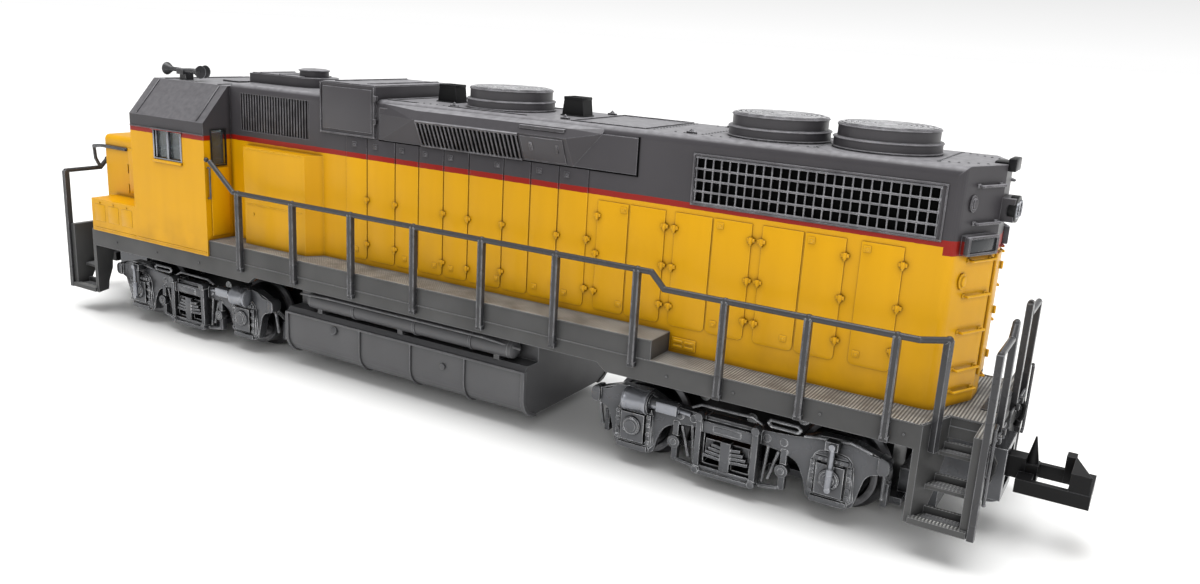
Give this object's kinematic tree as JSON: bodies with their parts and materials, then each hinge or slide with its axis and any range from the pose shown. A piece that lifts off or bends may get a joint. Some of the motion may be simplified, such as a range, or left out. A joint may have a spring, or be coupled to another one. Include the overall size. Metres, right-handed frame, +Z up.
{
  "type": "model diesel locomotive",
  "caption": "Scale model of a four-axle diesel road switcher with two powered swivelling trucks, a geared motor drive, hook couplers, railings and end steps.",
  "frame": {"origin": "centre of the bounding box in plan, at the lowest point of the wheel flanges", "axes": "+X forward (cab end) along the model, +Y to its left side, +Z up; the rail head is at z = 0.6 mm"},
  "size_m": [0.117, 0.019, 0.0301],
  "materials": {
    "body_paint": "smooth golden yellow paint, satin, with a dark grey upper band and a thin dark red stripe between",
    "walkway_paint": "dark grey paint, satin, tread pattern on the deck",
    "railing_plastic": "flexible dark grey plastic, satin",
    "roof_detail": "dark grey paint, satin",
    "horn_metal": "dark grey painted brass",
    "tank_paint": "dark grey paint, matte",
    "glazing": "clear moulded styrene",
    "lens": "clear acrylic lens",
    "frame_metal": "die-cast zinc alloy, matte",
    "steel": "bright steel",
    "magnet": "sintered ferrite, matte",
    "bronze": "sintered bronze and brass, satin",
    "contact_metal": "phosphor bronze and copper, satin",
    "winding": "steel laminations wound with lacquered copper wire",
    "board": "fibre board with solder mask",
    "engineering_plastic": "natural acetal, satin",
    "gearbox_plastic": "black acetal, satin",
    "truck_plastic": "mid-grey plastic with a metallic wash, satin",
    "coupler_plastic": "black acetal, satin",
    "wheel_metal": "blackened nickel plating"
  },
  "bodies": {
    "chassis": {"frame_left": "frame_metal", "frame_right": "frame_metal", "frame_fasteners": "steel", "motor_can": "steel", "motor_magnets": "magnet", "motor_bearings": "bronze", "motor_brush_plate": "engineering_plastic", "light_board": "board", "long_hood": "body_paint", "cab": "body_paint", "cab_glazing": "glazing", "light_lenses": "lens", "walkway": "walkway_paint", "handrail_left": "railing_plastic", "handrail_right": "railing_plastic", "end_railings": "railing_plastic", "fuel_tank": "tank_paint", "roof_fans": "roof_detail", "exhaust_stacks": "roof_detail", "horn": "horn_metal"},
    "motor_rotor": {"armature": "winding", "commutator": "contact_metal", "motor_shaft": "steel", "flywheels": "bronze"},
    "drive_shaft_front": {"drive_shaft_front": "engineering_plastic"},
    "truck_front": {"truck_housing_front": "gearbox_plastic", "truck_sideframes_front": "truck_plastic", "gear_pins_front": "steel", "worm_bearings_front": "bronze", "pickup_strips_front": "contact_metal"},
    "worm_front": {"worm_front": "bronze", "worm_shaft_front": "steel"},
    "worm_wheel_front": {"worm_wheel_front": "engineering_plastic"},
    "centre_gear_front": {"centre_gear_front": "engineering_plastic"},
    "idler_front_inner": {"idler_front_inner": "engineering_plastic"},
    "idler_front_outer": {"idler_front_outer": "engineering_plastic"},
    "axle_front_inner": {"wheels_front_inner": "wheel_metal", "axle_gear_front_inner": "engineering_plastic"},
    "axle_front_outer": {"wheels_front_outer": "wheel_metal", "axle_gear_front_outer": "engineering_plastic"},
    "coupler_pivot_front": {"coupler_spring_front": "steel"},
    "coupler_front": {"coupler_front": "coupler_plastic"},
    "drive_shaft_rear": {"drive_shaft_rear": "engineering_plastic"},
    "truck_rear": {"truck_housing_rear": "gearbox_plastic", "truck_sideframes_rear": "truck_plastic", "gear_pins_rear": "steel", "worm_bearings_rear": "bronze", "pickup_strips_rear": "contact_metal"},
    "worm_rear": {"worm_rear": "bronze", "worm_shaft_rear": "steel"},
    "worm_wheel_rear": {"worm_wheel_rear": "engineering_plastic"},
    "centre_gear_rear": {"centre_gear_rear": "engineering_plastic"},
    "idler_rear_inner": {"idler_rear_inner": "engineering_plastic"},
    "idler_rear_outer": {"idler_rear_outer": "engineering_plastic"},
    "axle_rear_inner": {"wheels_rear_inner": "wheel_metal", "axle_gear_rear_inner": "engineering_plastic"},
    "axle_rear_outer": {"wheels_rear_outer": "wheel_metal", "axle_gear_rear_outer": "engineering_plastic"},
    "coupler_pivot_rear": {"coupler_spring_rear": "steel"},
    "coupler_rear": {"coupler_rear": "coupler_plastic"}
  },
  "joints": [
    {"name": "motor_spin", "type": "hinge", "parent": "chassis", "child": "motor_rotor", "pos_m": [0, 0, 0.014], "axis": [1, 0, 0], "continuous": true},
    {"name": "drive_shaft_front_spin", "type": "hinge", "parent": "chassis", "child": "drive_shaft_front", "pos_m": [0.02, 0, 0.014], "axis": [1, 0, 0], "continuous": true},
    {"name": "truck_front_swivel", "type": "hinge", "parent": "chassis", "child": "truck_front", "pos_m": [0.0324, 0, 0.009], "axis": [0, 0, 1], "range_deg": [-9, 9]},
    {"name": "worm_front_spin", "type": "hinge", "parent": "truck_front", "child": "worm_front", "pos_m": [0.0324, 0, 0.014], "axis": [1, 0, 0], "continuous": true},
    {"name": "worm_wheel_front_spin", "type": "hinge", "parent": "truck_front", "child": "worm_wheel_front", "pos_m": [0.0324, 0, 0.01], "axis": [0, 1, 0], "continuous": true},
    {"name": "centre_gear_front_spin", "type": "hinge", "parent": "truck_front", "child": "centre_gear_front", "pos_m": [0.0324, 0, 0.0048], "axis": [0, 1, 0], "continuous": true},
    {"name": "idler_front_inner_spin", "type": "hinge", "parent": "truck_front", "child": "idler_front_inner", "pos_m": [0.02793, 0, 0.00588], "axis": [0, 1, 0], "continuous": true},
    {"name": "idler_front_outer_spin", "type": "hinge", "parent": "truck_front", "child": "idler_front_outer", "pos_m": [0.03687, 0, 0.00588], "axis": [0, 1, 0], "continuous": true},
    {"name": "axle_front_inner_spin", "type": "hinge", "parent": "truck_front", "child": "axle_front_inner", "pos_m": [0.02382, 0, 0.0038], "axis": [0, 1, 0], "continuous": true},
    {"name": "axle_front_outer_spin", "type": "hinge", "parent": "truck_front", "child": "axle_front_outer", "pos_m": [0.04097, 0, 0.0038], "axis": [0, 1, 0], "continuous": true},
    {"name": "coupler_front_swing", "type": "hinge", "parent": "truck_front", "child": "coupler_pivot_front", "pos_m": [0.051, 0, 0.0056], "axis": [0, 0, 1], "range_deg": [-12, 12], "stiffness_Nm_per_rad": 0.00004},
    {"name": "coupler_front_lift", "type": "hinge", "parent": "coupler_pivot_front", "child": "coupler_front", "pos_m": [0.051, 0, 0.0056], "axis": [0, -1, 0], "range_deg": [0, 8], "stiffness_Nm_per_rad": 0.00002},
    {"name": "drive_shaft_rear_spin", "type": "hinge", "parent": "chassis", "child": "drive_shaft_rear", "pos_m": [-0.02, 0, 0.014], "axis": [1, 0, 0], "continuous": true},
    {"name": "truck_rear_swivel", "type": "hinge", "parent": "chassis", "child": "truck_rear", "pos_m": [-0.0324, 0, 0.009], "axis": [0, 0, 1], "range_deg": [-9, 9]},
    {"name": "worm_rear_spin", "type": "hinge", "parent": "truck_rear", "child": "worm_rear", "pos_m": [-0.0324, 0, 0.014], "axis": [1, 0, 0], "continuous": true},
    {"name": "worm_wheel_rear_spin", "type": "hinge", "parent": "truck_rear", "child": "worm_wheel_rear", "pos_m": [-0.0324, 0, 0.01], "axis": [0, 1, 0], "continuous": true},
    {"name": "centre_gear_rear_spin", "type": "hinge", "parent": "truck_rear", "child": "centre_gear_rear", "pos_m": [-0.0324, 0, 0.0048], "axis": [0, 1, 0], "continuous": true},
    {"name": "idler_rear_inner_spin", "type": "hinge", "parent": "truck_rear", "child": "idler_rear_inner", "pos_m": [-0.02793, 0, 0.00588], "axis": [0, 1, 0], "continuous": true},
    {"name": "idler_rear_outer_spin", "type": "hinge", "parent": "truck_rear", "child": "idler_rear_outer", "pos_m": [-0.03687, 0, 0.00588], "axis": [0, 1, 0], "continuous": true},
    {"name": "axle_rear_inner_spin", "type": "hinge", "parent": "truck_rear", "child": "axle_rear_inner", "pos_m": [-0.02382, 0, 0.0038], "axis": [0, 1, 0], "continuous": true},
    {"name": "axle_rear_outer_spin", "type": "hinge", "parent": "truck_rear", "child": "axle_rear_outer", "pos_m": [-0.04097, 0, 0.0038], "axis": [0, 1, 0], "continuous": true},
    {"name": "coupler_rear_swing", "type": "hinge", "parent": "truck_rear", "child": "coupler_pivot_rear", "pos_m": [-0.051, 0, 0.0056], "axis": [0, 0, 1], "range_deg": [-12, 12], "stiffness_Nm_per_rad": 0.00004},
    {"name": "coupler_rear_lift", "type": "hinge", "parent": "coupler_pivot_rear", "child": "coupler_rear", "pos_m": [-0.051, 0, 0.0056], "axis": [0, 1, 0], "range_deg": [0, 8], "stiffness_Nm_per_rad": 0.00002}
  ],
  "couplings": [
    {"joint": "drive_shaft_front_spin", "follows": "motor_spin", "ratio": 1},
    {"joint": "worm_front_spin", "follows": "motor_spin", "ratio": 1},
    {"joint": "worm_wheel_front_spin", "follows": "motor_spin", "ratio": -0.071429},
    {"joint": "centre_gear_front_spin", "follows": "motor_spin", "ratio": 0.083333},
    {"joint": "idler_front_inner_spin", "follows": "motor_spin", "ratio": -0.090909},
    {"joint": "idler_front_outer_spin", "follows": "motor_spin", "ratio": -0.090909},
    {"joint": "axle_front_inner_spin", "follows": "motor_spin", "ratio": 0.083333},
    {"joint": "axle_front_outer_spin", "follows": "motor_spin", "ratio": 0.083333},
    {"joint": "drive_shaft_rear_spin", "follows": "motor_spin", "ratio": 1},
    {"joint": "worm_rear_spin", "follows": "motor_spin", "ratio": 1},
    {"joint": "worm_wheel_rear_spin", "follows": "motor_spin", "ratio": -0.071429},
    {"joint": "centre_gear_rear_spin", "follows": "motor_spin", "ratio": 0.083333},
    {"joint": "idler_rear_inner_spin", "follows": "motor_spin", "ratio": -0.090909},
    {"joint": "idler_rear_outer_spin", "follows": "motor_spin", "ratio": -0.090909},
    {"joint": "axle_rear_inner_spin", "follows": "motor_spin", "ratio": 0.083333},
    {"joint": "axle_rear_outer_spin", "follows": "motor_spin", "ratio": 0.083333}
  ]
}
